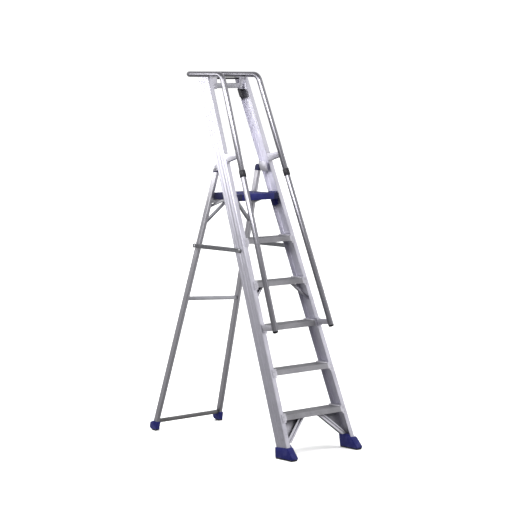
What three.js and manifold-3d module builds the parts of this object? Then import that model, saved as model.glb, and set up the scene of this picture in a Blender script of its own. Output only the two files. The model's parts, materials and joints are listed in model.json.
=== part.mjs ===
// Platform step ladder: five treads and a hinged blue platform between two leaning channel
// stiles, a folding rear frame, two side stays and a tubular handrail hoop.
// Millimetres, +Z up, climbing side towards -Y, floor at z = 0, left/right mirrored about x = 0.
import * as THREE from 'three';
import { mergeVertices } from 'three/addons/utils/BufferGeometryUtils.js';
import Module from 'manifold-3d';

const wasm = await Module();
wasm.setup();

// ---------------------------------------------------------------- driving dimensions
const GAP = 0.3;                 // air left between two touching pieces

const STILE_HALF_WIDTH = 267.2;  // outer web face at floor level
const STILE_TAPER = 0.0536;      // inward slope of the web, per mm of height
const STILE_FRONT_Y = -596;      // front face at floor level
const STILE_LEAN = 0.394;        // rearward slope, per mm of height
const STILE_DEPTH = 86;          // measured level, front flange to rear flange
const STILE_FLANGE = 31;
const STILE_WALL = 2.8;
const STILE_BOTTOM = 12;
const STILE_TOP = 2088;

const LEG_HALF_WIDTH = 259.5;    // outer face at floor level
const LEG_TAPER = 0.0577;
const LEG_REAR_Y = 615;          // rear face at floor level
const LEG_LEAN = -0.2923;
const LEG_DEPTH = 36;
const LEG_WIDTH = 21.2;
const LEG_WALL = 1.8;
const LEG_BOTTOM = 12;
const LEG_TOP = 1549;

const HINGE_Y = 138;             // axis the rear frame folds about
const HINGE_Z = 1570;
const HINGE_PIN_RADIUS = 5;
const KNUCKLE_RADIUS = 18;
const KNUCKLE_INNER_X = 149;
const KNUCKLE_OUTER_X = 170.1;
const HINGE_PLATE = 3.2;
const HINGE_PLATE_X = 148.6;      // inner plate's face towards the channel
const HINGE_TAB_X = 170.6;        // outer tab's face towards the knuckle

const TREAD_COUNT = 5;
const TREAD_RISE = 236.7;
const TREAD_SHEET = 2.5;
const TREAD_LIP = 28;
const TREAD_RIB_PITCH = 9;
const TREAD_RIB_HEIGHT = 1.2;
const TREAD_GRIP = 18;            // width of the end plates over the stile flanges
const TREAD_CAP_RISE = 6;

const DECK_HALF_WIDTH = 140;
const DECK_FRONT_Y = -40;
const DECK_REAR_Y = 215;
const DECK_CHEEK_X = 146.8;       // sides beside the pivots
const DECK_TOE_X = 157.5;         // front corners, inside the stiles' front flanges
const DECK_TOP = 1428;
const DECK_THICKNESS = 36;
const DECK_PIVOT_Y = 12;
const DECK_PIVOT_Z = 1400;
const PIVOT_BLOCK_LOW = 1354;
const PIVOT_BLOCK_HIGH = 1432;
const PIVOT_BLOCK_WALL = 4;       // in front of the pin's bore
const DECK_PIN_RADIUS = 6;
const STUD_Y = 92;               // side lugs that rest on the support arms
const STUD_Z = 1397;
const STUD_RADIUS = 4;

const ARM_X = 147.5;
const ARM_THICKNESS = 4;

const RAIL_RADIUS = 16;          // handrail tube
const RAIL_WALL = 2;
const RAIL_HALF_WIDTH = 252.6;   // tube axis at floor level, if carried down
const RAIL_TAPER = 0.0547;
const RAIL_FRONT_Y = -687.4;
const RAIL_LEAN = 0.3842;
const RAIL_LOW_END = 692;
const RAIL_JOINT_Z = 1548;
const RAIL_TOP_Z = 2105;
const RAIL_REAR_Y = 442;
const RAIL_BEND_RADIUS = 52;
const COLLAR_LENGTH = 40;
const COLLAR_RADIUS = 19;

const STAY_Z = 1120;
const STAY_HEIGHT = 25;
const STAY_THICKNESS = 4;
const STAY_X = 208.8;
const STAY_PIVOT_Y = -114;
const STAY_STUD_Y = 272;
const STAY_PIN_RADIUS = 4;

const BAR_SIZE = 22;
const BAR_WALL = 1.8;
const BOTTOM_BAR_Z = 56;
const MIDDLE_BAR_Z = 792;
const MIDDLE_BAR_DROP = 24;       // its right end sits lower
const PLATFORM_RAIL_Z = 1380;

// ---------------------------------------------------------------- materials
const metal = (color, roughness) => new THREE.MeshStandardMaterial({ color, metalness: 0.8, roughness });
const plastic = (color) => new THREE.MeshStandardMaterial({ color, metalness: 0, roughness: 0.55 });
const ALUMINIUM = metal(0xb9b8c4, 0.42);
const TREAD_METAL = metal(0xb2b0b2, 0.5);
const TUBE_METAL = metal(0xc4c4c9, 0.3);
const STEEL = metal(0x8f9096, 0.35);
const BLUE = plastic(0x23287a);
const BLACK = plastic(0x17171b);

// ---------------------------------------------------------------- solids
function solid(geometry) {
  geometry.deleteAttribute('normal');
  geometry.deleteAttribute('uv');
  const merged = mergeVertices(geometry, 1e-3);
  return new wasm.Manifold(new wasm.Mesh({
    numProp: 3,
    vertProperties: new Float32Array(merged.attributes.position.array),
    triVerts: new Uint32Array(merged.index.array),
  }));
}

function shapeOf(outline, holes = []) {
  const shape = new THREE.Shape(outline.map(([a, b]) => new THREE.Vector2(a, b)));
  for (const hole of holes) {
    shape.holes.push(new THREE.Path(hole.map(([a, b]) => new THREE.Vector2(a, b))));
  }
  return shape;
}

function extrude(outline, length, holes) {
  const options = { depth: length, bevelEnabled: false, curveSegments: 1 };
  return new THREE.ExtrudeGeometry(shapeOf(outline, holes), options);
}

// Level cross-section carried from zLow to zHigh along a leaning line.
function leaningPrism(outline, zLow, zHigh, slopeX, slopeY, holes) {
  const geometry = extrude(outline, zHigh - zLow, holes).translate(0, 0, zLow);
  const shear = new THREE.Matrix4().set(1, 0, slopeX, 0, 0, 1, slopeY, 0, 0, 0, 1, 0, 0, 0, 0, 1);
  return solid(geometry.applyMatrix4(shear));
}

// Side-view outline in (y, z) carried across from xLow to xHigh.
function crossPrism(outline, xLow, xHigh, holes) {
  const turn = new THREE.Matrix4().set(0, 0, 1, xLow, 1, 0, 0, 0, 0, 1, 0, 0, 0, 0, 0, 1);
  return solid(extrude(outline, xHigh - xLow, holes).applyMatrix4(turn));
}

// Plate whose outline lies in (x, z), from yLow back to yHigh.
function facePrism(outline, yLow, yHigh) {
  const turn = new THREE.Matrix4().set(1, 0, 0, 0, 0, 0, -1, yHigh, 0, 1, 0, 0, 0, 0, 0, 1);
  return solid(extrude(outline, yHigh - yLow).applyMatrix4(turn));
}

function block(xLow, xHigh, yLow, yHigh, zLow, zHigh) {
  return leaningPrism(rectangle(xLow, xHigh, yLow, yHigh), zLow, zHigh, 0, 0);
}

function rodAcross(radius, xLow, xHigh, y, z, sides = 20) {
  return crossPrism(circle(radius, y, z, sides), xLow, xHigh);
}

const mirrored = (body) => body.mirror([1, 0, 0]);

// Slides every level slice sideways in step with its height.
function leaned(body, slopeX, slopeY) {
  return body.transform([1, 0, 0, 0, 0, 1, 0, 0, slopeX, slopeY, 1, 0, 0, 0, 0, 1]);
}

function rectangle(aLow, aHigh, bLow, bHigh) {
  return [[aLow, bLow], [aHigh, bLow], [aHigh, bHigh], [aLow, bHigh]];
}

function circle(radius, a, b, sides) {
  const points = [];
  for (let i = 0; i < sides; i += 1) {
    const angle = (2 * Math.PI * i) / sides;
    points.push([a + radius * Math.cos(angle), b + radius * Math.sin(angle)]);
  }
  return points;
}

// Outline with every corner rounded; a corner may carry its own radius as a third number.
function rounded(corners, radius, steps = 3) {
  const points = [];
  corners.forEach((corner, i) => {
    const own = corner[2] ?? radius;
    const here = new THREE.Vector2(corner[0], corner[1]);
    const before = corners[(i + corners.length - 1) % corners.length];
    const after = corners[(i + 1) % corners.length];
    const back = new THREE.Vector2(before[0], before[1]).sub(here).normalize();
    const ahead = new THREE.Vector2(after[0], after[1]).sub(here).normalize();
    if (own === 0) {
      points.push([here.x, here.y]);
      return;
    }
    const half = Math.acos(THREE.MathUtils.clamp(back.dot(ahead), -1, 1)) / 2;
    const reach = own / Math.tan(half);
    const centre = back.clone().add(ahead).normalize().multiplyScalar(own / Math.sin(half)).add(here);
    const start = back.clone().multiplyScalar(reach).add(here).sub(centre);
    const end = ahead.clone().multiplyScalar(reach).add(here).sub(centre);
    const from = Math.atan2(start.y, start.x);
    let sweep = Math.atan2(end.y, end.x) - from;
    if (sweep > Math.PI) sweep -= 2 * Math.PI;
    if (sweep < -Math.PI) sweep += 2 * Math.PI;
    for (let k = 0; k <= steps; k += 1) {
      const angle = from + (sweep * k) / steps;
      points.push([centre.x + own * Math.cos(angle), centre.y + own * Math.sin(angle)]);
    }
  });
  return points;
}

// Domed rivet head standing off a wall, axis along `direction`.
function rivetHead(position, direction, radius = 4.5, height = 2) {
  const profile = [];
  for (let k = 0; k <= 3; k += 1) {
    const angle = (Math.PI / 2) * (k / 3);
    profile.push(new THREE.Vector2(radius * Math.cos(angle), height * Math.sin(angle)));
  }
  const points = [new THREE.Vector2(0, -1), new THREE.Vector2(radius, -1), ...profile];
  points[points.length - 1] = new THREE.Vector2(0, height);
  const geometry = new THREE.LatheGeometry(points, 12);
  const turn = new THREE.Quaternion().setFromUnitVectors(new THREE.Vector3(0, 1, 0), direction);
  return solid(geometry.applyQuaternion(turn).translate(position.x, position.y, position.z));
}

// ---------------------------------------------------------------- tubes
// Path that visits a list of stations in equal steps, so a bend gets rings only where it needs them.
class StationPath extends THREE.Curve {
  constructor(stations) {
    super();
    this.stations = stations;
  }

  station(u) {
    return this.stations[Math.round(u * (this.stations.length - 1))];
  }

  getPoint(u) {
    return this.station(u).point.clone();
  }

  getPointAt(u) {
    return this.getPoint(u);
  }

  getTangentAt(u) {
    return this.station(u).tangent.clone();
  }
}

// Stations along a run of straight lines joined by round bends.
function bentRun(corners, radius, stepsPerBend) {
  const stations = [];
  const first = corners[1].clone().sub(corners[0]).normalize();
  stations.push({ point: corners[0].clone(), tangent: first });
  for (let i = 1; i < corners.length - 1; i += 1) {
    const into = corners[i].clone().sub(corners[i - 1]).normalize();
    const out = corners[i + 1].clone().sub(corners[i]).normalize();
    const turn = into.angleTo(out);
    const axis = into.clone().cross(out).normalize();
    const inward = axis.clone().cross(into).normalize();
    const start = corners[i].clone().addScaledVector(into, -radius * Math.tan(turn / 2));
    const centre = start.clone().addScaledVector(inward, radius);
    for (let k = 0; k <= stepsPerBend; k += 1) {
      const angle = (turn * k) / stepsPerBend;
      const spoke = start.clone().sub(centre).applyAxisAngle(axis, angle);
      stations.push({
        point: centre.clone().add(spoke),
        tangent: into.clone().applyAxisAngle(axis, angle),
      });
    }
  }
  const last = corners.length - 1;
  const final = corners[last].clone().sub(corners[last - 1]).normalize();
  stations.push({ point: corners[last].clone(), tangent: final });
  return stations;
}

function tube(stations, outerRadius, innerRadius, sides) {
  const holes = innerRadius > 0 ? [circle(innerRadius, 0, 0, sides)] : [];
  const geometry = new THREE.ExtrudeGeometry(shapeOf(circle(outerRadius, 0, 0, sides), holes), {
    steps: stations.length - 1,
    curveSegments: 1,
    extrudePath: new StationPath(stations),
  });
  return solid(geometry);
}

function straightTube(start, end, outerRadius, innerRadius, sides) {
  return tube(bentRun([start, end], 0, 0), outerRadius, innerRadius, sides);
}

// ---------------------------------------------------------------- lines of the frame
const stileFront = (z) => STILE_FRONT_Y + STILE_LEAN * z;
const stileRear = (z) => stileFront(z) + STILE_DEPTH;
const stileOuter = (z) => STILE_HALF_WIDTH - STILE_TAPER * z;
const flangeEdge = (z) => stileOuter(z) - STILE_FLANGE;
const legRear = (z) => LEG_REAR_Y + LEG_LEAN * z;
const legCentre = (z) => legRear(z) - LEG_DEPTH / 2;
const legOuter = (z) => LEG_HALF_WIDTH - LEG_TAPER * z;
const legInner = (z) => legOuter(z) - LEG_WIDTH;
const railPoint = (side, z) => new THREE.Vector3(
  side * (RAIL_HALF_WIDTH - RAIL_TAPER * z), RAIL_FRONT_Y + RAIL_LEAN * z, z);

const inStile = (outline, zLow, zHigh) => leaningPrism(outline, zLow, zHigh, -STILE_TAPER, STILE_LEAN);

// ---------------------------------------------------------------- stiles and feet
// Level section of the right stile, grown by `grow` on every face.
function channelSection(grow = 0) {
  const outer = STILE_HALF_WIDTH + grow;
  const lip = STILE_HALF_WIDTH - STILE_FLANGE - grow;
  const web = STILE_HALF_WIDTH - STILE_WALL - grow;
  const front = STILE_FRONT_Y - grow;
  const rear = STILE_FRONT_Y + STILE_DEPTH + grow;
  const wall = STILE_WALL + 2 * grow;
  return rounded([
    [lip, front, 0], [outer, front, 4], [outer, rear, 4], [lip, rear, 0],
    [lip, rear - wall, 0], [web, rear - wall, 2], [web, front + wall, 2], [lip, front + wall, 0],
  ], 1, 3);
}

function frontStile() {
  let body = inStile(channelSection(), STILE_BOTTOM, STILE_TOP);
  for (const share of [0.22, 0.5, 0.78]) {
    const y = STILE_FRONT_Y + STILE_DEPTH * share;
    const groove = rectangle(STILE_HALF_WIDTH - 0.7, STILE_HALF_WIDTH + 1, y - 2.2, y + 2.2);
    body = body.subtract(inStile(groove, STILE_BOTTOM - 1, STILE_TOP + 1));
  }
  const bore = rodAcross(STAY_PIN_RADIUS + GAP, 195, 215, STAY_PIVOT_Y, STAY_Z);
  return body.subtract(bore);
}

function frontFoot() {
  const side = rounded([
    [-618, 0, 2], [-489, 0, 2], [-482, 62, 3], [-579, 68, 4], [-626, 16, 6],
  ], 2);
  const shell = leaned(crossPrism(side, 229, 272), -STILE_TAPER, 0);
  const innerWall = rounded([[-590, 50, 2], [-486, 50, 2], [-478, 82, 4], [-560, 82, 4]], 2);
  const upstand = leaned(crossPrism(innerWall, 229, 234), -STILE_TAPER, 0);
  const socket = inStile(channelSection(GAP), STILE_BOTTOM - GAP, 120);
  return shell.add(upstand).subtract(socket);
}

// ---------------------------------------------------------------- treads and their braces
// Ribbed walking surface from yFront to yRear, top of the ribs at zTop.
function ribbedTop(yFront, yRear, zTop, pitch, height) {
  const points = [];
  const count = Math.floor((yRear - yFront - pitch) / pitch);
  const start = yFront + (yRear - yFront - count * pitch) / 2;
  for (let i = 0; i < count; i += 1) {
    const y = start + i * pitch;
    const land = y + pitch * 0.5;
    points.push([y, zTop - height], [y + 1, zTop], [land, zTop], [land + 1, zTop - height]);
  }
  return points;
}

function treadSection(zTop) {
  const front = stileFront(zTop) - GAP - TREAD_SHEET;
  const rear = stileRear(zTop) + GAP + TREAD_SHEET;
  const down = (y, drop) => [y - STILE_LEAN * drop, zTop - drop];
  const skin = zTop - TREAD_RIB_HEIGHT;
  return [
    [front, skin], ...ribbedTop(front, rear, zTop, TREAD_RIB_PITCH, TREAD_RIB_HEIGHT), [rear, skin],
    down(rear, TREAD_LIP), down(rear - 10, TREAD_LIP), down(rear - 10, TREAD_LIP - 2),
    down(rear - TREAD_SHEET, TREAD_LIP - 2), down(rear - TREAD_SHEET, TREAD_RIB_HEIGHT + TREAD_SHEET),
    down(front + TREAD_SHEET, TREAD_RIB_HEIGHT + TREAD_SHEET), down(front + TREAD_SHEET, TREAD_LIP - 2),
    down(front + 10, TREAD_LIP - 2), down(front + 10, TREAD_LIP), down(front, TREAD_LIP),
  ].reverse();
}

function flap(yAtTop, zTop, reach) {
  const low = zTop - TREAD_LIP;
  const foot = yAtTop - STILE_LEAN * TREAD_LIP;
  const outline = [
    [foot, low], [foot + TREAD_SHEET, low],
    [yAtTop + TREAD_SHEET - 0.4, zTop - 1], [yAtTop - 0.4, zTop - 1],
  ];
  return crossPrism(outline, -reach, reach);
}

// Riveted plate over the inner part of the right stile's front flange, joined to the tread's lip.
function treadEndPlate(zTop) {
  const inner = STILE_HALF_WIDTH - STILE_FLANGE;
  const face = STILE_FRONT_Y - GAP - TREAD_SHEET;
  const outline = rectangle(inner - 8, inner + TREAD_GRIP, face, face + TREAD_SHEET);
  let plate = inStile(outline, zTop - TREAD_LIP - 11, zTop + 5);
  const out = new THREE.Vector3(0, -1, STILE_LEAN).normalize();
  for (const drop of [6, 29]) {
    const z = zTop - drop;
    const y = stileFront(z) - GAP - TREAD_SHEET + 0.4;
    const head = new THREE.Vector3(flangeEdge(z) + TREAD_GRIP / 2, y, z);
    plate = plate.add(rivetHead(head, out));
  }
  return plate;
}

// Raised cap that carries the tread's end into the right stile's channel.
function treadEndCap(zTop) {
  const outline = rounded(rectangle(
    STILE_HALF_WIDTH - STILE_FLANGE - 22, STILE_HALF_WIDTH - STILE_WALL - GAP,
    STILE_FRONT_Y + STILE_WALL + GAP, STILE_FRONT_Y + STILE_DEPTH - STILE_WALL - GAP), 1.5);
  return inStile(outline, zTop - 3, zTop + TREAD_CAP_RISE);
}

function tread(index) {
  const zTop = TREAD_RISE * index;
  const inside = flangeEdge(zTop) - 1;
  const reach = flangeEdge(zTop) + TREAD_GRIP - 4;
  const front = stileFront(zTop) - GAP - TREAD_SHEET;
  const rear = stileRear(zTop) + GAP;
  const end = treadEndPlate(zTop).add(treadEndCap(zTop));
  return crossPrism(treadSection(zTop), -inside, inside)
    .add(flap(front, zTop, reach))
    .add(flap(rear, zTop, reach))
    .add(end)
    .add(mirrored(end));
}

// Diagonal pressed channel from under a tread down to the stile, open side upwards.
// `high` and `low` are (x, z) points of its lower face; it is cut off level below the tread.
function treadBrace(high, low, width, height, zCut, zTop, xCut, beadDepth, gussetReach) {
  const along = new THREE.Vector2(low[0] - high[0], low[1] - high[1]).normalize();
  const across = new THREE.Vector2(-along.y, along.x);
  const length = Math.hypot(low[0] - high[0], low[1] - high[1]);
  const at = (s, t) => [high[0] + along.x * s + across.x * t, high[1] + along.y * s + across.y * t];
  const strip = (t0, t1) => [at(-90, t0), at(length + 60, t0), at(length + 60, t1), at(-90, t1)];
  const sheet = 2;
  const centre = STILE_FRONT_Y + STILE_DEPTH * 0.45;
  const outer = facePrism(strip(0, height), centre - width / 2, centre + width / 2);
  const inside = width / 2 - sheet;
  const face = centre - width / 2;
  const inner = facePrism(strip(sheet, height + 20), centre - inside, centre + inside);
  const beadCentre = height / 2 + 1;
  const beadHalf = height * 0.17;
  const beadWalls = strip(beadCentre - beadHalf - sheet, beadCentre + beadHalf + sheet);
  const bead = facePrism(beadWalls, face, face + beadDepth + sheet);
  const groove = facePrism(strip(beadCentre - beadHalf, beadCentre + beadHalf), face - 1, face + beadDepth);
  const gusset = facePrism(strip(0, gussetReach), centre + inside, centre + width / 2);
  const web = STILE_HALF_WIDTH - STILE_WALL - GAP;
  const sloped = inStile(rectangle(-200, web, STILE_FRONT_Y - 200, STILE_FRONT_Y + 300), zCut, zTop);
  const room = sloped.intersect(block(xCut, 400, -900, 400, zCut, zTop));
  const besideFlange = block(xCut, flangeEdge(zTop) + 6, -900, 400, zCut, zTop);
  const plate = leaned(gusset, 0, STILE_LEAN).intersect(besideFlange);
  const channel = outer.subtract(inner).add(bead).subtract(groove);
  return leaned(channel, 0, STILE_LEAN).intersect(room).add(plate);
}

const underTread = (index) => TREAD_RISE * index - TREAD_RIB_HEIGHT - TREAD_SHEET - GAP;
const lowerBrace = () => treadBrace([64, 197], [205, 76], 28, 28, 84, underTread(1), 6, 6, 170);
const upperBrace = () => treadBrace([112, 916], [196, 838], 24, 12, 822, underTread(4), 80, 1, 12);

// ---------------------------------------------------------------- top of the frame
function kneeRail() {
  const y = stileFront(2040) + 30;
  const half = flangeEdge(2040) - 1;
  const outside = rounded(rectangle(y - 11, y + 11, 2025, 2055), 3);
  const depth = 11 - BAR_WALL;
  const inside = rounded(rectangle(y - depth, y + depth, 2025 + BAR_WALL, 2055 - BAR_WALL), 1.5);
  return crossPrism(outside, -half, half, [inside]);
}

// Angle plate that holds the knee rail and the hoop to the stile top.
function kneeRailBracket() {
  const y = stileFront(2040) + 30 - 11 - GAP;
  const plate = facePrism(rounded([[86, 2020], [126, 2020], [123, 2086], [86, 2086]], 4), y - 3, y);
  const tab = block(98, 118, y - 3, y + 40, 2073, 2076);
  const out = new THREE.Vector3(0, -1, 0);
  let body = plate.add(tab);
  for (const z of [2033, 2048]) {
    body = body.add(rivetHead(new THREE.Vector3(104, y - 3, z), out, 4.5, 2));
  }
  return body;
}

function topBar() {
  const y = stileFront(2076) + 32;
  const outline = rounded(rectangle(y - 8, y + 12, 2076.4, 2087.4), 3);
  const half = flangeEdge(2076) - 2;
  return crossPrism(outline, -half, half);
}

// Moulded block closing the rear half of the channel just below the knee rail.
function channelBlock() {
  const web = STILE_HALF_WIDTH - STILE_WALL - GAP;
  const rear = STILE_FRONT_Y + STILE_DEPTH - STILE_WALL - GAP;
  const outline = rounded(rectangle(STILE_HALF_WIDTH - STILE_FLANGE - 8, web, rear - 28, rear), 2);
  return inStile(outline, 1972, 2020);
}

// ---------------------------------------------------------------- handrails
function lowerRail() {
  return straightTube(railPoint(1, RAIL_LOW_END), railPoint(1, RAIL_JOINT_Z - GAP),
    RAIL_RADIUS, RAIL_RADIUS - RAIL_WALL, 28);
}

function railPlug() {
  const along = railPoint(1, 1000).sub(railPoint(1, 0)).normalize();
  const seat = railPoint(1, RAIL_LOW_END).addScaledVector(along, -GAP);
  const profile = [
    [0, -9], [9, -8.5], [14, -6], [RAIL_RADIUS + 0.6, -2], [RAIL_RADIUS + 0.6, 0],
    [RAIL_RADIUS - RAIL_WALL - GAP, 0], [RAIL_RADIUS - RAIL_WALL - GAP, 22], [0, 22],
  ];
  return turned(profile, 28, seat, along);
}

function turned(profile, sides, origin, axis) {
  const geometry = new THREE.LatheGeometry(profile.map(([r, h]) => new THREE.Vector2(r, h)), sides);
  const turn = new THREE.Quaternion().setFromUnitVectors(new THREE.Vector3(0, 1, 0), axis);
  return solid(geometry.applyQuaternion(turn).translate(origin.x, origin.y, origin.z));
}

function collar() {
  const along = railPoint(1, 1000).sub(railPoint(1, 0)).normalize();
  const inner = RAIL_RADIUS + GAP;
  const half = COLLAR_LENGTH / 2;
  const profile = [
    [inner, -half], [COLLAR_RADIUS - 1.5, -half], [COLLAR_RADIUS, -half + 1.5],
    [COLLAR_RADIUS, half - 1.5], [COLLAR_RADIUS - 1.5, half], [inner, half], [inner, -half],
  ];
  return turned(profile, 28, railPoint(1, RAIL_JOINT_Z), along);
}

function hoop() {
  const top = railPoint(1, RAIL_TOP_Z);
  const start = railPoint(1, RAIL_JOINT_Z + GAP);
  const flip = (p) => new THREE.Vector3(-p.x, p.y, p.z);
  const rear = new THREE.Vector3(top.x, RAIL_REAR_Y, RAIL_TOP_Z);
  const corners = [start, top, rear, flip(rear), flip(top), flip(start)];
  return tube(bentRun(corners, RAIL_BEND_RADIUS, 7), RAIL_RADIUS, RAIL_RADIUS - RAIL_WALL, 28);
}

// Cast stand-off: foot on the stile flange, saddle against the tube.
function railBracket(zStile, zTube, stileHeight, tubeHeight, clearance) {
  const foot = stileFront(zStile) - clearance;
  const tubeAxis = railPoint(1, zTube);
  const centre = tubeAxis.x;
  const low = zStile - stileHeight / 2;
  const high = zStile + stileHeight / 2;
  const footAt = (z) => foot + STILE_LEAN * (z - zStile);
  const arm = [
    [footAt(low), low], [footAt(high), high],
    [tubeAxis.y + RAIL_LEAN * tubeHeight / 2, zTube + tubeHeight / 2],
    [tubeAxis.y - RAIL_LEAN * tubeHeight / 2, zTube - tubeHeight / 2],
  ].reverse();
  const pad = [
    [footAt(low - 6), low - 6], [footAt(high + 6), high + 6],
    [footAt(high + 6) - 3, high + 6], [footAt(low - 6) - 3, low - 6],
  ].reverse();
  const shell = crossPrism(arm, centre - 11, centre + 11);
  const along = railPoint(1, 1000).sub(railPoint(1, 0)).normalize();
  const seat = (reach) => [
    tubeAxis.clone().addScaledVector(along, -reach), tubeAxis.clone().addScaledVector(along, reach)];
  const bore = straightTube(...seat(120), RAIL_RADIUS + GAP, 0, 28);
  return shell.add(crossPrism(pad, centre - 13, centre + 13)).subtract(bore);
}

const lowerBracket = () => railBracket(703, 712, 32, 26, TREAD_SHEET + 2 + 2 * GAP);
const upperBracket = () => railBracket(1631, 1653, 44, 28, GAP);

// ---------------------------------------------------------------- platform seats and fold hinge
// The block fills the rear of the channel and its front face stands upright.
function pivotBlock() {
  const web = STILE_HALF_WIDTH - STILE_WALL - GAP;
  const inner = STILE_HALF_WIDTH - 31.7;
  const rear = STILE_FRONT_Y + STILE_DEPTH - STILE_WALL - GAP;
  const outline = rounded(rectangle(inner, web, STILE_FRONT_Y + 20, rear), 3);
  const front = DECK_PIVOT_Y - DECK_PIN_RADIUS - PIVOT_BLOCK_WALL;
  const behindFront = block(100, 300, front, 300, PIVOT_BLOCK_LOW, PIVOT_BLOCK_HIGH);
  const bore = rodAcross(DECK_PIN_RADIUS + GAP, 140, 184.5, DECK_PIVOT_Y, DECK_PIVOT_Z);
  return inStile(outline, PIVOT_BLOCK_LOW, PIVOT_BLOCK_HIGH).intersect(behindFront).subtract(bore);
}

function platformPin() {
  return rodAcross(DECK_PIN_RADIUS, 124, 184, DECK_PIVOT_Y, DECK_PIVOT_Z);
}

// Pressed bracket: a strip behind the rear flange, a plate turned forward beside the channel's
// mouth, and an outer tab turned back that holds the hinge pin.
function hingeBracket() {
  const back = (z) => stileRear(z) + GAP;
  const behind = STILE_FRONT_Y + STILE_DEPTH + GAP;
  const inner = HINGE_PLATE_X - HINGE_PLATE;
  const outer = HINGE_TAB_X + HINGE_PLATE;
  const section = rectangle(inner, outer, behind, behind + HINGE_PLATE);
  const strip = leaningPrism(section, 1549, 1603, 0, STILE_LEAN);
  const cheek = rounded([
    [back(1549) - 62, 1549, 4], [back(1549) + 3, 1549, 0],
    [back(1603) + 3, 1603, 0], [back(1603) - 62, 1603, 4],
  ], 1);
  const tab = rounded([
    [back(1562) + 1, 1562, 0], [HINGE_Y - 4, 1556, 6], [HINGE_Y + 10, 1556, 9], [HINGE_Y + 15, 1568, 12],
    [HINGE_Y + 12, 1584, 12], [HINGE_Y - 2, 1590, 8], [back(1597) + 1, 1597, 0],
  ], 1, 5);
  const bore = rodAcross(HINGE_PIN_RADIUS + GAP, HINGE_TAB_X - 1, 180, HINGE_Y, HINGE_Z);
  return strip
    .add(crossPrism(cheek, inner, HINGE_PLATE_X))
    .add(crossPrism(tab, HINGE_TAB_X, outer))
    .subtract(bore);
}

function hingePin() {
  const head = HINGE_TAB_X + HINGE_PLATE + GAP;
  return rodAcross(HINGE_PIN_RADIUS, KNUCKLE_INNER_X + 4, head + 1, HINGE_Y, HINGE_Z)
    .add(rodAcross(9, head, head + 4, HINGE_Y, HINGE_Z, 24));
}

// ---------------------------------------------------------------- rear frame
const inLeg = (outline, zLow, zHigh, holes) =>
  leaningPrism(outline, zLow, zHigh, -LEG_TAPER, LEG_LEAN, holes);

function legSection(inset) {
  return rounded(rectangle(LEG_HALF_WIDTH - LEG_WIDTH + inset, LEG_HALF_WIDTH - inset,
    LEG_REAR_Y - LEG_DEPTH + inset, LEG_REAR_Y - inset), Math.max(0.8, 3.5 - inset));
}

function rearLeg() {
  const tubeBody = inLeg(legSection(0), LEG_BOTTOM, LEG_TOP, [legSection(LEG_WALL)]);
  return tubeBody.subtract(rodAcross(STAY_PIN_RADIUS + GAP, 170, 210, STAY_STUD_Y, STAY_Z));
}

function knuckle() {
  const z0 = LEG_TOP + GAP;
  const neck = [
    [legRear(z0) - LEG_DEPTH + 0.5, z0], [legRear(z0) - 0.5, z0],
    [HINGE_Y + KNUCKLE_RADIUS * 0.97, HINGE_Z + 4], [HINGE_Y - KNUCKLE_RADIUS * 0.97, HINGE_Z - 4],
  ];
  const head = crossPrism(circle(KNUCKLE_RADIUS, HINGE_Y, HINGE_Z, 32), KNUCKLE_INNER_X, KNUCKLE_OUTER_X);
  const body = head.add(crossPrism(neck, KNUCKLE_INNER_X, KNUCKLE_OUTER_X));
  const spigot = inLeg(legSection(LEG_WALL + GAP), LEG_TOP - 32, z0 + 1);
  const bore = rodAcross(HINGE_PIN_RADIUS + GAP, KNUCKLE_INNER_X + 3, 180, HINGE_Y, HINGE_Z);
  return body.add(spigot).subtract(bore);
}

function rearFoot() {
  const side = rounded([
    [570, 0, 3], [596, 0, 10], [627, 14, 16], [623, 46, 12], [604, 55, 3], [560, 53, 4],
  ], 3, 5);
  const shell = leaned(crossPrism(side, 234.5, 263.2), -LEG_TAPER, 0);
  const y = legCentre(BOTTOM_BAR_Z);
  const half = BAR_SIZE / 2 + GAP;
  const barSeat = block(150, 250, y - half, y + half, BOTTOM_BAR_Z - half, BOTTOM_BAR_Z + half);
  return shell.subtract(inLeg(legSection(-GAP), LEG_BOTTOM - GAP, 90)).subtract(barSeat);
}

// Square tube between the legs; its right end is `drop` lower than its left end.
function rearBar(z, drop = 0) {
  const y = legCentre(z);
  const half = legInner(z + BAR_SIZE / 2 + drop / 2) - GAP;
  const reach = BAR_SIZE / 2;
  const outside = rounded(rectangle(y - reach, y + reach, z - reach, z + reach), 3);
  const w = reach - BAR_WALL;
  const inside = rounded(rectangle(y - w, y + w, z - w, z + w), 1.5);
  const slope = -drop / (2 * half);
  return crossPrism(outside, -half, half, [inside])
    .transform([1, slope * LEG_LEAN, slope, 0, 0, 1, 0, 0, 0, 0, 1, 0, 0, 0, 0, 1]);
}

function railBrace() {
  const low = [160, 1262];
  const high = [46, PLATFORM_RAIL_Z - BAR_SIZE / 2];
  const along = new THREE.Vector2(high[0] - low[0], high[1] - low[1]).normalize();
  const across = [along.y * 7.5, -along.x * 7.5];
  const reach = (p, s) => [p[0] + along.x * s, p[1] + along.y * s];
  const a = reach(low, -30);
  const b = reach(high, 30);
  const outline = [
    [a[0] + across[0], a[1] + across[1]], [b[0] + across[0], b[1] + across[1]],
    [b[0] - across[0], b[1] - across[1]], [a[0] - across[0], a[1] - across[1]],
  ].reverse();
  const y = legCentre((low[1] + high[1]) / 2);
  const strip = facePrism(outline, y - 24, y + 24);
  const section = rectangle(0, LEG_HALF_WIDTH - LEG_WIDTH - GAP, LEG_REAR_Y - LEG_DEPTH / 2 - 9,
    LEG_REAR_Y - LEG_DEPTH / 2 + 9);
  const room = inLeg(section, 1230, PLATFORM_RAIL_Z - BAR_SIZE / 2 - GAP);
  return strip.intersect(room);
}

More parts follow.
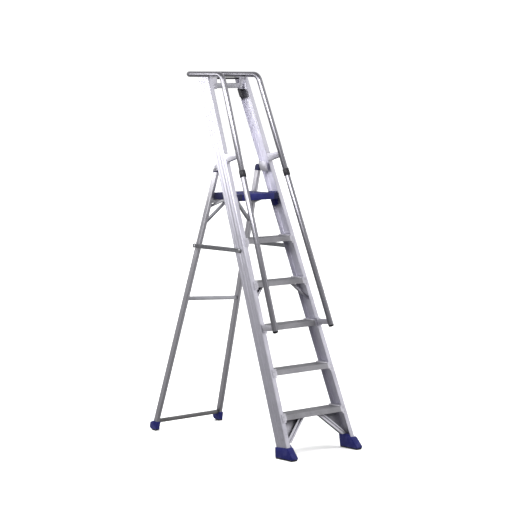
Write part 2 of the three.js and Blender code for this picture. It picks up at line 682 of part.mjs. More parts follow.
// Arm on the leg whose lipped tip carries the platform lug.
function supportArm() {
  const top = STUD_Z - STUD_RADIUS - GAP;
  const outline = rounded([
    [205, 1342.5, 6], [205, 1358, 6], [STUD_Y + 10, top, 0.5], [STUD_Y - 5, top, 0.5],
    [STUD_Y - 7, top + 7, 0.5], [STUD_Y - 12, top + 7, 1],
    [STUD_Y - 14, top - 8, 3], [STUD_Y + 4, top - 12, 4],
  ].reverse(), 2);
  const arm = crossPrism(outline, ARM_X, ARM_X + ARM_THICKNESS);
  const y = legCentre(1349);
  const boss = rodAcross(7, ARM_X + 1, legInner(1357) - GAP, y, 1349, 24);
  return arm.add(boss).add(rodAcross(6, ARM_X - 2.5, ARM_X + 1, y, 1349, 24));
}

// ---------------------------------------------------------------- platform
function platformDeck() {
  const bottom = DECK_TOP - DECK_THICKNESS;
  const skin = DECK_TOP - 1.2;
  const side = [
    [DECK_FRONT_Y, bottom], [DECK_REAR_Y, bottom], [DECK_REAR_Y, skin],
    ...ribbedTop(DECK_FRONT_Y, DECK_REAR_Y, DECK_TOP, 13, 1.2).reverse(), [DECK_FRONT_Y, skin],
  ];
  const slab = crossPrism(side, -DECK_HALF_WIDTH, DECK_HALF_WIDTH);
  const plan = rounded(rectangle(-DECK_HALF_WIDTH, DECK_HALF_WIDTH, DECK_FRONT_Y, DECK_REAR_Y), 10, 4);
  let body = slab.intersect(leaningPrism(plan, bottom - 1, DECK_TOP + 1, 0, 0));
  const cheek = block(DECK_HALF_WIDTH - 8, DECK_CHEEK_X, DECK_FRONT_Y, DECK_PIVOT_Y + 28, bottom, DECK_TOP);
  const toe = block(DECK_HALF_WIDTH - 8, DECK_TOE_X, DECK_FRONT_Y, DECK_PIVOT_Y - 16, bottom, DECK_TOP);
  body = body.add(cheek).add(toe).add(mirrored(cheek)).add(mirrored(toe));
  const cells = 4;
  const rim = 5;
  const pitch = (2 * (DECK_HALF_WIDTH - 18)) / cells;
  for (let i = 0; i < cells; i += 1) {
    for (const [yLow, yHigh] of [[DECK_FRONT_Y + rim, 92], [97, DECK_REAR_Y - rim]]) {
      const x = -DECK_HALF_WIDTH + 18 + i * pitch;
      body = body.subtract(block(x + 2, x + pitch - 2, yLow, yHigh, bottom - 1, DECK_TOP - 6));
    }
  }
  for (const side of [-1, 1]) {
    const bore = rodAcross(DECK_PIN_RADIUS + GAP, 123, 150, DECK_PIVOT_Y, DECK_PIVOT_Z);
    const lug = rodAcross(STUD_RADIUS, DECK_HALF_WIDTH - 4, ARM_X + ARM_THICKNESS, STUD_Y, STUD_Z);
    body = side > 0 ? body.subtract(bore).add(lug) : body.subtract(mirrored(bore)).add(mirrored(lug));
  }
  return body;
}

// ---------------------------------------------------------------- side stays
function sideStay() {
  const low = STAY_Z - STAY_HEIGHT / 2;
  const high = STAY_Z + STAY_HEIGHT / 2;
  const outline = rounded(rectangle(STAY_PIVOT_Y - 15, STAY_STUD_Y + 18, low, high), 11, 5);
  const pin = STAY_PIN_RADIUS + GAP;
  const bore = rodAcross(pin, STAY_X - 1, STAY_X + STAY_THICKNESS + 1, STAY_PIVOT_Y, STAY_Z);
  const notch = rounded([
    [STAY_STUD_Y + pin, low - 5, 0], [STAY_STUD_Y + pin, STAY_Z + pin, pin * 0.9],
    [STAY_STUD_Y - pin, STAY_Z + pin, pin * 0.9], [STAY_STUD_Y - pin, STAY_Z - 1, 1],
    [STAY_STUD_Y - pin - 10, low - 5, 0],
  ], 0, 4);
  return crossPrism(outline, STAY_X, STAY_X + STAY_THICKNESS)
    .subtract(bore)
    .subtract(crossPrism(notch.reverse(), STAY_X - 1, STAY_X + STAY_THICKNESS + 1));
}

function stayRivet() {
  const head = STAY_X + STAY_THICKNESS + GAP;
  return rodAcross(STAY_PIN_RADIUS, 202, head + 0.5, STAY_PIVOT_Y, STAY_Z)
    .add(rivetHead(new THREE.Vector3(head + 1, STAY_PIVOT_Y, STAY_Z), new THREE.Vector3(1, 0, 0), 9, 2.5));
}

function stayStud() {
  const head = STAY_X + STAY_THICKNESS + GAP;
  const seat = legOuter(STAY_Z - 8) + GAP;
  return rodAcross(STAY_PIN_RADIUS, 183, head + 0.5, STAY_STUD_Y, STAY_Z)
    .add(rodAcross(8, seat, STAY_X - GAP, STAY_STUD_Y, STAY_Z, 24))
    .add(rivetHead(new THREE.Vector3(head + 1, STAY_STUD_Y, STAY_Z), new THREE.Vector3(1, 0, 0), 8, 2.5));
}

// ---------------------------------------------------------------- assembly
const ladder = new THREE.Group();
ladder.name = 'platform_step_ladder';

function add(name, body, material) {
  const mesh = body.getMesh();
  const geometry = new THREE.BufferGeometry();
  geometry.setAttribute('position', new THREE.BufferAttribute(new Float32Array(mesh.vertProperties), 3));
  geometry.setIndex(new THREE.BufferAttribute(new Uint32Array(mesh.triVerts), 1));
  geometry.computeVertexNormals();
  const node = new THREE.Mesh(geometry, material);
  node.name = name;
  ladder.add(node);
}

function addPair(name, rightBody, material) {
  add(`${name}_right`, rightBody, material);
  add(`${name}_left`, mirrored(rightBody), material);
}

addPair('front_stile', frontStile(), ALUMINIUM);
addPair('front_foot', frontFoot(), BLUE);
for (let k = 1; k <= TREAD_COUNT; k += 1) {
  add(`tread_${k}`, tread(k), TREAD_METAL);
}
addPair('lower_brace', lowerBrace(), ALUMINIUM);
addPair('upper_brace', upperBrace(), ALUMINIUM);

add('knee_rail', kneeRail(), ALUMINIUM);
addPair('knee_rail_bracket', kneeRailBracket(), ALUMINIUM);
add('top_bar', topBar(), BLACK);
addPair('channel_block', channelBlock(), BLACK);
addPair('handrail_lower', lowerRail(), TUBE_METAL);
addPair('handrail_plug', railPlug(), BLACK);
addPair('handrail_collar', collar(), BLACK);
add('handrail_hoop', hoop(), TUBE_METAL);
addPair('handrail_lower_bracket', lowerBracket(), ALUMINIUM);
addPair('handrail_upper_bracket', upperBracket(), ALUMINIUM);
addPair('pivot_block', pivotBlock(), BLUE);
addPair('platform_pin', platformPin(), STEEL);
addPair('hinge_bracket', hingeBracket(), ALUMINIUM);
addPair('hinge_pin', hingePin(), STEEL);
addPair('stay_rivet', stayRivet(), STEEL);

addPair('rear_leg', rearLeg(), ALUMINIUM);
addPair('rear_knuckle', knuckle(), BLUE);
addPair('rear_foot', rearFoot(), BLUE);
add('rear_bottom_bar', rearBar(BOTTOM_BAR_Z), ALUMINIUM);
add('rear_middle_bar', rearBar(MIDDLE_BAR_Z, MIDDLE_BAR_DROP), ALUMINIUM);
add('platform_rail', rearBar(PLATFORM_RAIL_Z), ALUMINIUM);
addPair('platform_rail_brace', railBrace(), ALUMINIUM);
addPair('support_arm', supportArm(), STEEL);
addPair('stay_stud', stayStud(), STEEL);

add('platform_deck', platformDeck(), BLUE);
addPair('side_stay', sideStay(), ALUMINIUM);

export default ladder;
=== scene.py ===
"""Looks of the platform step ladder: refined meshes, procedural materials, studio and camera."""

import json
import math

import bmesh
import bpy
from mathutils import Matrix, Vector


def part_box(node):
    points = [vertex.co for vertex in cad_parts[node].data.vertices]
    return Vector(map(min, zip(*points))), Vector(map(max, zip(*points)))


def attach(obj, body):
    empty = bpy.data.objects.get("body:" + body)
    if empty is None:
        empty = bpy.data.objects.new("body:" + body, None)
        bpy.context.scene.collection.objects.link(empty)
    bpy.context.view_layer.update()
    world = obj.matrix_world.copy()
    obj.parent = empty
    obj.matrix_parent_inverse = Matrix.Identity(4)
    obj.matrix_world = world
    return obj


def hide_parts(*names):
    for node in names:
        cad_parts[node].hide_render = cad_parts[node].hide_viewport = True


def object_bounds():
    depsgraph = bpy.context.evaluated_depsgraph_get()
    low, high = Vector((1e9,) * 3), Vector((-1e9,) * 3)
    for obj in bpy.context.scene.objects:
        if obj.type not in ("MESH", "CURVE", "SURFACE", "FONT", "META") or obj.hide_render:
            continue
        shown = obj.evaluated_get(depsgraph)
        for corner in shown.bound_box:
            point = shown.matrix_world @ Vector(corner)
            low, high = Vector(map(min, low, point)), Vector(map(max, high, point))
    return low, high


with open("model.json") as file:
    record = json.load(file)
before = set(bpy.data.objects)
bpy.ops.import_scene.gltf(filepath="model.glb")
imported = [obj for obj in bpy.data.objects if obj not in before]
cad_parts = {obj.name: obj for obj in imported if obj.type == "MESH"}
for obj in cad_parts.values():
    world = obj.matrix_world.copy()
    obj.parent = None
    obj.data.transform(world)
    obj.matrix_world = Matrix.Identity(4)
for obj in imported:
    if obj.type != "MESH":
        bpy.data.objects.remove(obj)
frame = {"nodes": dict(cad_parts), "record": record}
CAD_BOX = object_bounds()
NODES = frame["nodes"]
BODIES = frame["record"]["behaviour"]["bodies"]
BODY_OF = {node: body for body, nodes in BODIES.items() for node in nodes}
SLOT_OF = {part["node"]: part["material_slot"] for part in frame["record"]["subparts"]}

SIDES = ("left", "right")
TREADS = [name for name in sorted(NODES) if name.startswith("tread_")]


def both(*names):
    """The left and right node of every name."""
    return [f"{name}_{side}" for name in names for side in SIDES]


def show(name, data):
    """Puts a mesh, lamp or camera in the scene and returns its object."""
    shown = bpy.data.objects.new(name, data)
    bpy.context.scene.collection.objects.link(shown)
    return shown


# ---------------------------------------------------------------- camera
CAMERA_AZIMUTH = math.radians(42.27)
CAMERA_DROP = math.radians(5.79)
CAMERA_ROLL = math.radians(0.25)
CAMERA_DISTANCE = 10.815
CAMERA_TARGET = Vector((0.0, -0.077, 1.036))
CAMERA_LENS = 129.8
CAMERA_SENSOR = 36.0
CAMERA_REACH = 100.0


def make_camera():
    """The photo's camera: far off at the left front, as high as the hoop, looking slightly down."""
    forward = Vector((
        math.sin(CAMERA_AZIMUTH) * math.cos(CAMERA_DROP),
        math.cos(CAMERA_AZIMUTH) * math.cos(CAMERA_DROP),
        -math.sin(CAMERA_DROP)))
    right = Vector((math.cos(CAMERA_AZIMUTH), -math.sin(CAMERA_AZIMUTH), 0.0))
    up = right.cross(forward)
    turned_right = right * math.cos(CAMERA_ROLL) + up * math.sin(CAMERA_ROLL)
    turned_up = up * math.cos(CAMERA_ROLL) - right * math.sin(CAMERA_ROLL)
    data = bpy.data.cameras.new("camera")
    data.lens = CAMERA_LENS
    data.sensor_width = CAMERA_SENSOR
    data.sensor_fit = "HORIZONTAL"
    data.clip_end = CAMERA_REACH
    camera = show("camera", data)
    axes = Matrix((turned_right, turned_up, -forward)).transposed().to_4x4()
    camera.matrix_world = Matrix.Translation(CAMERA_TARGET - forward * CAMERA_DISTANCE) @ axes
    bpy.context.scene.camera = camera


# ---------------------------------------------------------------- material nodes
COLOUR_A, COLOUR_B, COLOUR_RESULT = 6, 7, 2     # a mix node's colour sockets, by position


class Graph:
    """A material's node tree, with short calls for the nodes used here."""

    def __init__(self, name):
        self.material = bpy.data.materials.new(name)
        self.material.use_nodes = True
        self.tree = self.material.node_tree
        self.tree.nodes.clear()
        self.shader = self.node("ShaderNodeBsdfPrincipled")
        output = self.node("ShaderNodeOutputMaterial")
        self.link(self.shader.outputs["BSDF"], output.inputs["Surface"])
        self.place = self.node("ShaderNodeTexCoord").outputs["Object"]

    def node(self, kind, **settings):
        made = self.tree.nodes.new(kind)
        for key, value in settings.items():
            setattr(made, key, value)
        return made

    def link(self, source, target):
        self.tree.links.new(source, target)

    def mapped(self, turn=(0, 0, 0), scale=(1, 1, 1)):
        mapping = self.node("ShaderNodeMapping")
        mapping.inputs["Rotation"].default_value = turn
        mapping.inputs["Scale"].default_value = scale
        self.link(self.place, mapping.inputs["Vector"])
        return mapping.outputs["Vector"]

    def noise(self, vector, scale, detail=4.0, roughness=0.55):
        texture = self.node("ShaderNodeTexNoise")
        texture.inputs["Scale"].default_value = scale
        texture.inputs["Detail"].default_value = detail
        texture.inputs["Roughness"].default_value = roughness
        self.link(vector, texture.inputs["Vector"])
        return texture.outputs["Fac"]

    def spread(self, value, low, high, to_low=0.0, to_high=1.0):
        node = self.node("ShaderNodeMapRange", interpolation_type="SMOOTHSTEP")
        self.link(value, node.inputs["Value"])
        limits = {"From Min": low, "From Max": high, "To Min": to_low, "To Max": to_high}
        for key, number in limits.items():
            node.inputs[key].default_value = number
        return node.outputs["Result"]

    def math(self, operation, a, b):
        node = self.node("ShaderNodeMath", operation=operation)
        for socket, value in zip(node.inputs, (a, b)):
            if isinstance(value, (int, float)):
                socket.default_value = value
            else:
                self.link(value, socket)
        return node.outputs["Value"]

    def mix(self, factor, low, high):
        node = self.node("ShaderNodeMix", data_type="RGBA")
        self.link(factor, node.inputs["Factor"])
        for socket, colour in ((node.inputs[COLOUR_A], low), (node.inputs[COLOUR_B], high)):
            if isinstance(colour, tuple):
                socket.default_value = (*colour, 1.0)
            else:
                self.link(colour, socket)
        return node.outputs[COLOUR_RESULT]

    def height(self):
        split = self.node("ShaderNodeSeparateXYZ")
        self.link(self.place, split.inputs["Vector"])
        return split.outputs["Z"]

    def bump(self, value, strength, distance):
        node = self.node("ShaderNodeBump")
        node.inputs["Strength"].default_value = strength
        node.inputs["Distance"].default_value = distance
        self.link(value, node.inputs["Height"])
        if self.shader.inputs["Normal"].is_linked:
            self.link(self.shader.inputs["Normal"].links[0].from_socket, node.inputs["Normal"])
        self.link(node.outputs["Normal"], self.shader.inputs["Normal"])


def scaled(colour, factor):
    return tuple(min(1.0, channel * factor) for channel in colour)


# colours that a finish fades to in places; the first serves both real grime and painted shade
GRIME_AND_SHADE = (0.10, 0.095, 0.09)
DUST = (0.32, 0.31, 0.30)
WARM_PLATING = (0.46, 0.43, 0.36)

# heights in metres, from the floor
# the height up to which grime gathers and painted shade darkens the metal
FLOOR_GRIME_AND_SHADE_HEIGHT = 0.35
FLOOR_DUST_HEIGHT = 0.12
TREAD_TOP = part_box("tread_1")[1][2]
TREAD_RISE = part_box("tread_2")[1][2] - TREAD_TOP
TOP_HIGHLIGHT_DEPTH = (0.002, 0.006)      # below a tread's top, where the painted highlight on its top fades out

# noise: cycles per metre, detail and roughness; stretched noise takes its cycles from its run
STREAKS = (1.0, 3.0)
PATCHES = (9.0, 5.0, 0.6)
SMUDGES = (34.0, 6.0, 0.7)
SCRATCHES = (1.0, 2.0)
MOULD_GRAIN = (1500.0, 2.0)
CLOUDS = (22.0, 5.0, 0.6)
SCUFFS = (1.0, 4.0, 0.7)
MOTTLE = (120.0, 6.0, 0.65)
RINGS = (1.0, 2.0)

# a run is how stretched noise is turned, and its cycles per metre along each axis
UNTURNED = (0, 0, 0)
STILE_LEAN = math.radians(21.5)
LEG_LEAN = math.radians(-16.3)
ALONG_STILE = (STILE_LEAN, 0, 0)
ALONG_LEG = (LEG_LEAN, 0, 0)
GRAIN_ALONG_Z = (900, 900, 9)
GRAIN_ALONG_X = (9, 900, 900)
GRAIN_ALL_WAYS = (300, 300, 300)
SCRATCH_RUN = ((0.5, 0.3, 0.9), (260, 14, 260))
SCUFF_RUN = ((0.2, 0.7, 0.1), (90, 420, 90))
RING_RUN = (UNTURNED, (30, 2200, 2200))

# bands of noise over which an effect comes in
MIDDLE_BAND = (0.3, 0.7)
PATCH_BAND = (0.35, 0.75)
SMUDGE_BAND = (0.48, 0.72)
SCRATCH_BAND = (0.66, 0.74)
SCUFF_BAND = (0.6, 0.78)

# relief: its strength, and its depth in metres
DIE_LINE_RELIEF = (0.12, 0.0004)
SCRATCH_RELIEF = (0.06, 0.0003)
GRAIN_RELIEF = (0.18, 0.0003)
SCUFF_RELIEF = (0.08, 0.0004)
RING_RELIEF = (0.1, 0.0002)

PATCH_SHADE, PATCH_STRENGTH = 0.78, 0.35
# how much paler the painted highlight makes the top of every tread
TOP_HIGHLIGHT_SHADE = 2.1
HIGH_UP = 0.25                     # the share of grime left above the dirty zone
# the patchiness of the painted highlight on tread tops
TOP_HIGHLIGHT_BAND, TOP_HIGHLIGHT_SHARES = (0.2, 0.6), (1.0, 0.7)
PLASTIC_SHINE = 0.28
PLASTIC_WEAR = 0.35
CLOUD_SHADES = (0.8, 1.2)
DUST_BAND = (0.45, 0.7)
DUST_SHARES = (0.14, 0.03)         # at the floor, and above the dusty zone
MOTTLE_SHADES = (0.75, 1.15)
WARM_BAND, WARM_STRENGTH = (0.55, 0.8), 0.3

# how far each detail moves the roughness down and up
PATCH_ROUGHNESS = (-0.05, 0.07)
STREAK_ROUGHNESS = (-0.03, 0.05)
SCRATCH_ROUGHNESS = (0.0, 0.12)
CLOUD_ROUGHNESS = (-0.06, 0.08)
SCUFFED_BAND, SCUFF_ROUGHNESS = (0.6, 0.8), (0.0, 0.15)
MOTTLE_BAND, MOTTLE_ROUGHNESS = (0.25, 0.75), (-0.08, 0.12)


def around(middle, swing):
    """The two ends of a swing about a middle value."""
    return tuple(middle + part for part in swing)


def aluminium(name, colour, roughness, turn=UNTURNED, grain=GRAIN_ALONG_Z, contrast=0.14,
              grime=0.25, relief=1.0, painted_floor_shade=0.0, lit_tread_tops=False):
    """Mill-finish aluminium with die lines along the profile, cloudy patches, scratches and grime.

    painted_floor_shade paints shade on what is near the floor, and lit_tread_tops paints a highlight
    on the top of every tread.
    """
    g = Graph(name)
    g.shader.inputs["Metallic"].default_value = 1.0
    die_lines = g.noise(g.mapped(turn, grain), *STREAKS)
    patches = g.noise(g.mapped(), *PATCHES)
    smudges = g.noise(g.mapped(), *SMUDGES)
    scratches = g.noise(g.mapped(*SCRATCH_RUN), *SCRATCHES)
    tone = g.mix(g.spread(die_lines, *MIDDLE_BAND),
                 scaled(colour, 1 - contrast), scaled(colour, 1 + contrast / 2))
    tone = g.mix(g.spread(patches, *PATCH_BAND, 0.0, PATCH_STRENGTH), tone,
                 scaled(colour, PATCH_SHADE))
    near_floor = g.spread(g.height(), 0.0, FLOOR_GRIME_AND_SHADE_HEIGHT, grime, grime * HIGH_UP)
    dirt = g.math("MULTIPLY", g.spread(smudges, *SMUDGE_BAND), near_floor)
    tone = g.mix(dirt, tone, GRIME_AND_SHADE)
    # painted shade: the metal darkened towards the floor
    tone = g.mix(g.spread(g.height(), 0.0, FLOOR_GRIME_AND_SHADE_HEIGHT, painted_floor_shade, 0.0), tone, GRIME_AND_SHADE)
    # painted highlight: the top of every tread made paler, a little patchy
    if lit_tread_tops:
        above_first = g.math("SUBTRACT", g.height(), TREAD_TOP)
        from_top = g.math("PINGPONG", above_first, TREAD_RISE / 2)
        near_top = g.spread(from_top, *TOP_HIGHLIGHT_DEPTH, 1.0, 0.0)
        top_highlight = g.math("MULTIPLY", near_top, g.spread(patches, *TOP_HIGHLIGHT_BAND, *TOP_HIGHLIGHT_SHARES))
        tone = g.mix(top_highlight, tone, scaled(colour, TOP_HIGHLIGHT_SHADE))
    g.link(tone, g.shader.inputs["Base Color"])
    rough = g.math("ADD", g.spread(patches, *MIDDLE_BAND, *around(roughness, PATCH_ROUGHNESS)),
                   g.spread(die_lines, *MIDDLE_BAND, *STREAK_ROUGHNESS))
    rough = g.math("ADD", rough, g.spread(scratches, *SCRATCH_BAND, *SCRATCH_ROUGHNESS))
    g.link(rough, g.shader.inputs["Roughness"])
    for noise, (strength, depth) in ((die_lines, DIE_LINE_RELIEF), (scratches, SCRATCH_RELIEF)):
        g.bump(noise, strength * relief, depth)
    return g.material


def moulded_plastic(name, colour, worn, roughness):
    """Injection-moulded plastic with fine grain, scuffs and dust that gathers towards the floor."""
    g = Graph(name)
    g.shader.inputs["Specular IOR Level"].default_value = PLASTIC_SHINE
    grain = g.noise(g.mapped(), *MOULD_GRAIN)
    clouds = g.noise(g.mapped(), *CLOUDS)
    scuffs = g.noise(g.mapped(*SCUFF_RUN), *SCUFFS)
    dark, pale = (scaled(colour, shade) for shade in CLOUD_SHADES)
    tone = g.mix(g.spread(clouds, *MIDDLE_BAND), dark, pale)
    tone = g.mix(g.spread(scuffs, *SCUFF_BAND, 0.0, PLASTIC_WEAR), tone, worn)
    near_floor = g.spread(g.height(), 0.0, FLOOR_DUST_HEIGHT, *DUST_SHARES)
    dust = g.math("MULTIPLY", g.spread(clouds, *DUST_BAND), near_floor)
    tone = g.mix(dust, tone, DUST)
    g.link(tone, g.shader.inputs["Base Color"])
    rough = g.math("ADD", g.spread(clouds, *MIDDLE_BAND, *around(roughness, CLOUD_ROUGHNESS)),
                   g.spread(scuffs, *SCUFFED_BAND, *SCUFF_ROUGHNESS))
    g.link(rough, g.shader.inputs["Roughness"])
    g.bump(grain, *GRAIN_RELIEF)
    g.bump(scuffs, *SCUFF_RELIEF)
    return g.material


def plated_steel(name, colour, roughness):
    """Zinc-plated steel: mottled plating with a faint warm cast and turning marks."""
    g = Graph(name)
    g.shader.inputs["Metallic"].default_value = 1.0
    mottle = g.noise(g.mapped(), *MOTTLE)
    rings = g.noise(g.mapped(*RING_RUN), *RINGS)
    dark, pale = (scaled(colour, shade) for shade in MOTTLE_SHADES)
    tone = g.mix(g.spread(mottle, *MIDDLE_BAND), dark, pale)
    tone = g.mix(g.spread(mottle, *WARM_BAND, 0.0, WARM_STRENGTH), tone, WARM_PLATING)
    g.link(tone, g.shader.inputs["Base Color"])
    rough = g.spread(mottle, *MOTTLE_BAND, *around(roughness, MOTTLE_ROUGHNESS))
    g.link(rough, g.shader.inputs["Roughness"])
    g.bump(rings, *RING_RELIEF)
    return g.material


# the finish of every material slot; each colour is how much red, green and blue it returns
ALUMINIUM = {
    "stile_aluminium": dict(colour=(0.66, 0.65, 0.725), roughness=0.46, turn=ALONG_STILE),
    "leg_aluminium": dict(colour=(0.55, 0.54, 0.58), roughness=0.40, turn=ALONG_LEG),
    # painted shade darkens the bars near the floor
    "bar_aluminium": dict(colour=(0.50, 0.50, 0.54), roughness=0.42, grain=GRAIN_ALONG_X,
                          painted_floor_shade=0.85),
    # painted light: the tread metal is darker than the other aluminium as painted shade, and its
    # tops are painted paler as a highlight
    "tread_aluminium": dict(colour=(0.345, 0.34, 0.365), roughness=0.50, grain=GRAIN_ALONG_X,
                            contrast=0.2, grime=0.4, lit_tread_tops=True),
    "bracket_aluminium": dict(colour=(0.60, 0.59, 0.65), roughness=0.44, grain=GRAIN_ALL_WAYS),
    # painted shade: the handrail metal is darker than the other aluminium, standing in for the dark
    # surroundings it reflects
    "handrail_aluminium": dict(colour=(0.28, 0.275, 0.305), roughness=0.30, turn=ALONG_STILE,
                               contrast=0.08, grime=0.15, relief=0.3),
}
STEEL = {
    "stay_steel": dict(colour=(0.26, 0.26, 0.28), roughness=0.42),
    "fastener_steel": dict(colour=(0.52, 0.52, 0.55), roughness=0.34),
}
PLASTIC = {
    "foot_plastic": dict(colour=(0.015, 0.018, 0.19), worn=(0.07, 0.08, 0.30), roughness=0.46),
    "platform_plastic": dict(colour=(0.012, 0.015, 0.155), worn=(0.06, 0.07, 0.24),
                             roughness=0.42),
    "hinge_plastic": dict(colour=(0.013, 0.014, 0.060), worn=(0.10, 0.10, 0.17), roughness=0.44),
    "grip_plastic": dict(colour=(0.022, 0.021, 0.026), worn=(0.09, 0.09, 0.09), roughness=0.42),
}


def make_materials():
    """One material for each slot, found by the slot's name."""
    kinds = ((aluminium, ALUMINIUM), (plated_steel, STEEL), (moulded_plastic, PLASTIC))
    return {slot: make(slot, **look) for make, looks in kinds for slot, look in looks.items()}


MATERIALS = make_materials()


# ---------------------------------------------------------------- mesh helpers
SMOOTH_ANGLE = 32.0                # degrees below which neighbouring faces shade as one
EDGE_ANGLE = 40.0                  # degrees above which an edge is rounded
TUBE_ANGLE = 60.0                  # both limits, for round tubes and their plugs and collars
WELD = 2e-6                        # metres within which vertices are joined
FLAT = math.radians(0.4)           # turn below which faces are joined


def publish(bm, name, node, smooth_angle=SMOOTH_ANGLE, slot=None):
    """Turns a bmesh into a shown piece that rides as the CAD node does, in its finish or another."""
    slot = slot or SLOT_OF[node]
    bmesh.ops.recalc_face_normals(bm, faces=bm.faces)
    for face in bm.faces:
        face.smooth = True
    mesh = bpy.data.meshes.new(name)
    bm.to_mesh(mesh)
    bm.free()
    mesh.set_sharp_from_angle(angle=math.radians(smooth_angle))
    piece = show(name, mesh)
    mesh.materials.append(MATERIALS[slot])
    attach(piece, BODY_OF[node])
    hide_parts(node)


def node_mesh(node):
    """The CAD node's shape with its seams closed and its flat triangles joined into whole faces."""
    bm = bmesh.new()
    bm.from_mesh(NODES[node].data)
    bmesh.ops.remove_doubles(bm, verts=bm.verts, dist=WELD)
    bmesh.ops.dissolve_limit(bm, angle_limit=FLAT, verts=bm.verts, edges=bm.edges)
    return bm


def soften(bm, width, segments=2, angle=EDGE_ANGLE):
    """Rounds every edge that turns by more than the angle."""
    limit = math.radians(angle)
    edges = [e for e in bm.edges if len(e.link_faces) == 2 and e.calc_face_angle(0.0) > limit]
    bmesh.ops.bevel(bm, geom=edges, offset=width, offset_type="OFFSET", segments=segments,
                    profile=0.5, affect="EDGES", clamp_overlap=True)


def refined(node, width, angle=EDGE_ANGLE, smooth_angle=SMOOTH_ANGLE):
    """A copy of a CAD node with rounded edges, shown in its place."""
    bm = node_mesh(node)
    soften(bm, width, angle=angle)
    publish(bm, f"fine_{node}", node, smooth_angle)


def part_of(node, *cuts):
    """The node's shape, kept only where each cut's direction points, with the cut faces closed."""
    bm = node_mesh(node)
    for place, direction in cuts:
        everything = bm.verts[:] + bm.edges[:] + bm.faces[:]
        cut = bmesh.ops.bisect_plane(bm, geom=everything, plane_co=place, plane_no=direction,
                                     clear_inner=True)
        rim = [e for e in cut["geom_cut"] if isinstance(e, bmesh.types.BMEdge)]
        bmesh.ops.holes_fill(bm, edges=rim, sides=0)
    return bm


# ---------------------------------------------------------------- pieces
# widths of the rounded edges, in metres
TREAD_EDGE = 0.0004
FINE_EDGE = 0.0006
FRAME_EDGE = 0.0008
BLOCK_EDGE = 0.0012
SHOE_EDGE = 0.0015
ROUNDED_PAIRS = {
    FRAME_EDGE: ("front_stile", "rear_leg", "lower_brace", "upper_brace", "hinge_bracket",
                 "knee_rail_bracket", "platform_rail_brace", "support_arm", "side_stay"),
    BLOCK_EDGE: ("handrail_lower_bracket", "handrail_upper_bracket", "pivot_block",
                   "channel_block", "rear_knuckle"),
}
CROSS_BARS = ("knee_rail", "top_bar", "rear_bottom_bar", "rear_middle_bar", "platform_rail")

SOLE_THICKNESS = 0.008
SOLE_INSET = 0.0005
TREAD_END = 0.042
DECK_RIM = 0.0345
UP, DOWN = (0, 0, 1), (0, 0, -1)
LEFTWARD, RIGHTWARD = (-1, 0, 0), (1, 0, 0)


def foot_with_sole(node):
    """The shoe in two pieces: the coloured moulding and the black rubber tread under it."""
    low = min(vertex.co.z for vertex in NODES[node].data.vertices)
    seam = Vector((0.0, 0.0, low + SOLE_THICKNESS))
    shell = part_of(node, (seam, UP))
    sole = part_of(node, (seam, DOWN))
    middle = sum((v.co for v in sole.verts), Vector()) / len(sole.verts)
    for v in sole.verts:
        for axis in (0, 1):
            v.co[axis] -= math.copysign(SOLE_INSET, v.co[axis] - middle[axis])
    for part, bm, slot in (("shell", shell, "foot_plastic"), ("sole", sole, "grip_plastic")):
        soften(bm, SHOE_EDGE)
        publish(bm, f"{part}_{node}", node, slot=slot)


def with_ends(node, end_length, end_slot, width, segments):
    """A piece between two ends in another material slot, split square to X at each end's length."""
    reach = max(vertex.co.x for vertex in NODES[node].data.vertices) - end_length
    left, right = Vector((-reach, 0, 0)), Vector((reach, 0, 0))
    parts = {
        f"fine_{node}": (SLOT_OF[node], ((left, RIGHTWARD), (right, LEFTWARD))),
        f"end_left_{node}": (end_slot, ((left, LEFTWARD),)),
        f"end_right_{node}": (end_slot, ((right, RIGHTWARD),)),
    }
    for name, (slot, cuts) in parts.items():
        bm = part_of(node, *cuts)
        soften(bm, width, segments)
        publish(bm, name, node, slot=slot)


def refine_frame():
    """Shows every CAD node by a finer piece, or by several where its material slot changes."""
    for width, names in ROUNDED_PAIRS.items():
        for node in both(*names):
            refined(node, width)
    for node in both("front_foot", "rear_foot"):
        foot_with_sole(node)
    for node in TREADS:
        with_ends(node, TREAD_END, "bracket_aluminium", TREAD_EDGE, segments=1)
    for node in CROSS_BARS:
        refined(node, FRAME_EDGE)
    # the deck's two end strips, its sides included, are shown in the darker hinge plastic
    with_ends("platform_deck", DECK_RIM, "hinge_plastic", FRAME_EDGE, segments=2)
    for node in both("platform_pin", "hinge_pin", "stay_rivet", "stay_stud"):
        refined(node, FINE_EDGE)
    for node in both("handrail_lower", "handrail_plug", "handrail_collar") + ["handrail_hoop"]:
        refined(node, FINE_EDGE, TUBE_ANGLE, TUBE_ANGLE)


# ---------------------------------------------------------------- studio
FLOOR_SIZE = 60.0
FLOOR_COLOUR = (0.90, 0.90, 0.90)
FLOOR_SHADE = 0.99                # how far its faint clouds darken it
FLOOR_CLOUDS = (0.8, 2.0)         # their cycles per metre and detail
FLOOR_ROUGHNESS = 0.9
FLOOR_SHINE = 0.1
FLOOR_WASH = 3.8
FLOOR_WASH_SPREAD = math.radians(70)
FLOOR_DROP = 0.0005               # below the soles, so the two faces don't flicker
PAPER_BRIGHTNESS = 1.1
AMBIENT = 0.34
# lighter and darker sides of the studio: direction from the ladder, sharpness and brightness
STUDIO_SIDES = (
    ((0.62, -0.62, 0.48), 6.0, 0.95),
    ((-0.72, -0.66, 0.16), 14.0, 0.50),
    ((-0.68, 0.73, 0.00), 3.0, 0.19),
    ((0.67, -0.74, -0.10), 6.0, 0.38),
    ((0.55, 0.60, 0.58), 4.0, 0.65),
    ((0.66, 0.72, -0.22), 12.0, -0.30),
    ((0.0, 0.0, -1.0), 1.5, -0.18),
)
WHITE = (1.0, 1.0, 1.0, 1.0)
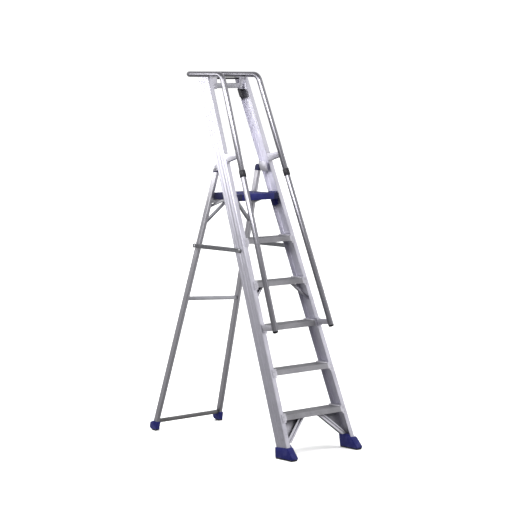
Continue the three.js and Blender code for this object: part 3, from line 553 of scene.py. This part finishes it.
# soft panels: place, the point they face, width, height and watts
PANELS = {
    "top_left_panel": ((-1.3, 1.45, 2.2), (-0.1, 0.2, 1.85), 0.7, 0.8, 7.5),
    "left_panel": ((-1.7, 0.3, 2.4), (-0.1, 0.1, 1.9), 1.0, 0.8, 20),
    "front_panel": ((-0.95, -0.80, 2.45), (0.17, 0.15, 1.98), 0.7, 0.7, 20),
}


def make_floor():
    """A large pale floor that takes shadows, but neither shows in the metal nor lights it."""
    half = FLOOR_SIZE / 2
    bm = bmesh.new()
    outline = ((-half, -half), (half, -half), (half, half), (-half, half))
    bm.faces.new([bm.verts.new((x, y, 0.0)) for x, y in outline])
    mesh = bpy.data.meshes.new("floor")
    bm.to_mesh(mesh)
    bm.free()
    floor = show("floor", mesh)
    floor.location.z = CAD_BOX[0][2] - FLOOR_DROP
    g = Graph("studio_floor")
    g.shader.inputs["Roughness"].default_value = FLOOR_ROUGHNESS
    g.shader.inputs["Specular IOR Level"].default_value = FLOOR_SHINE
    clouds = g.noise(g.mapped(), *FLOOR_CLOUDS)
    tone = g.mix(clouds, scaled(FLOOR_COLOUR, FLOOR_SHADE), FLOOR_COLOUR)
    g.link(tone, g.shader.inputs["Base Color"])
    mesh.materials.append(g.material)
    floor.visible_glossy = False
    floor.visible_diffuse = False
    return floor


def make_world():
    """White paper behind the ladder; around it a dim studio with soft boxes that show in metal."""
    world = bpy.data.worlds.new("studio")
    world.use_nodes = True
    tree = world.node_tree
    tree.nodes.clear()
    new, link = tree.nodes.new, tree.links.new

    def calculated(operation, first, *numbers):
        node = new("ShaderNodeMath")
        node.operation = operation
        link(first, node.inputs[0])
        for socket, number in zip(list(node.inputs)[1:], numbers):
            if isinstance(number, float):
                socket.default_value = number
            else:
                link(number, socket)
        return node.outputs["Value"]

    def background(strength):
        node = new("ShaderNodeBackground")
        node.inputs["Color"].default_value = WHITE
        if isinstance(strength, float):
            node.inputs["Strength"].default_value = strength
        else:
            link(strength, node.inputs["Strength"])
        return node.outputs["Background"]

    towards = new("ShaderNodeTexCoord").outputs["Generated"]
    total = AMBIENT
    for direction, sharpness, brightness in STUDIO_SIDES:
        dot = new("ShaderNodeVectorMath")
        dot.operation = "DOT_PRODUCT"
        dot.inputs[1].default_value = Vector(direction).normalized()
        link(towards, dot.inputs[0])
        lobe = calculated("POWER", calculated("MAXIMUM", dot.outputs["Value"], 0.0), sharpness)
        total = calculated("MULTIPLY_ADD", lobe, brightness, total)
    seen = new("ShaderNodeLightPath")
    pick = new("ShaderNodeMixShader")
    link(seen.outputs["Is Camera Ray"], pick.inputs["Fac"])
    link(background(total), pick.inputs[1])
    link(background(PAPER_BRIGHTNESS), pick.inputs[2])
    link(pick.outputs["Shader"], new("ShaderNodeOutputWorld").inputs["Surface"])
    bpy.context.scene.world = world


def area_light(name, place, target, width, height, watts):
    """A rectangular panel that faces its target."""
    data = bpy.data.lights.new(name, "AREA")
    data.shape = "RECTANGLE"
    data.size = width
    data.size_y = height
    data.energy = watts
    lamp = show(name, data)
    aim = Vector(target) - Vector(place)
    facing = aim.to_track_quat("-Z", "Y").to_matrix().to_4x4()
    lamp.matrix_world = Matrix.Translation(place) @ facing


def make_lights(floor):
    """A wash that whitens the floor alone, and panels beside and before the top of the ladder."""
    wash = bpy.data.lights.new("floor_wash", "SUN")
    wash.energy = FLOOR_WASH
    wash.angle = FLOOR_WASH_SPREAD
    lamp = show("floor_wash", wash)
    floor_only = bpy.data.collections.new("floor_only")
    floor_only.objects.link(floor)
    lamp.light_linking.receiver_collection = floor_only
    for name, settings in PANELS.items():
        area_light(name, *settings)


def main():
    make_camera()
    refine_frame()
    floor = make_floor()
    make_world()
    make_lights(floor)
    bpy.context.scene.view_settings.view_transform = "Standard"


main()
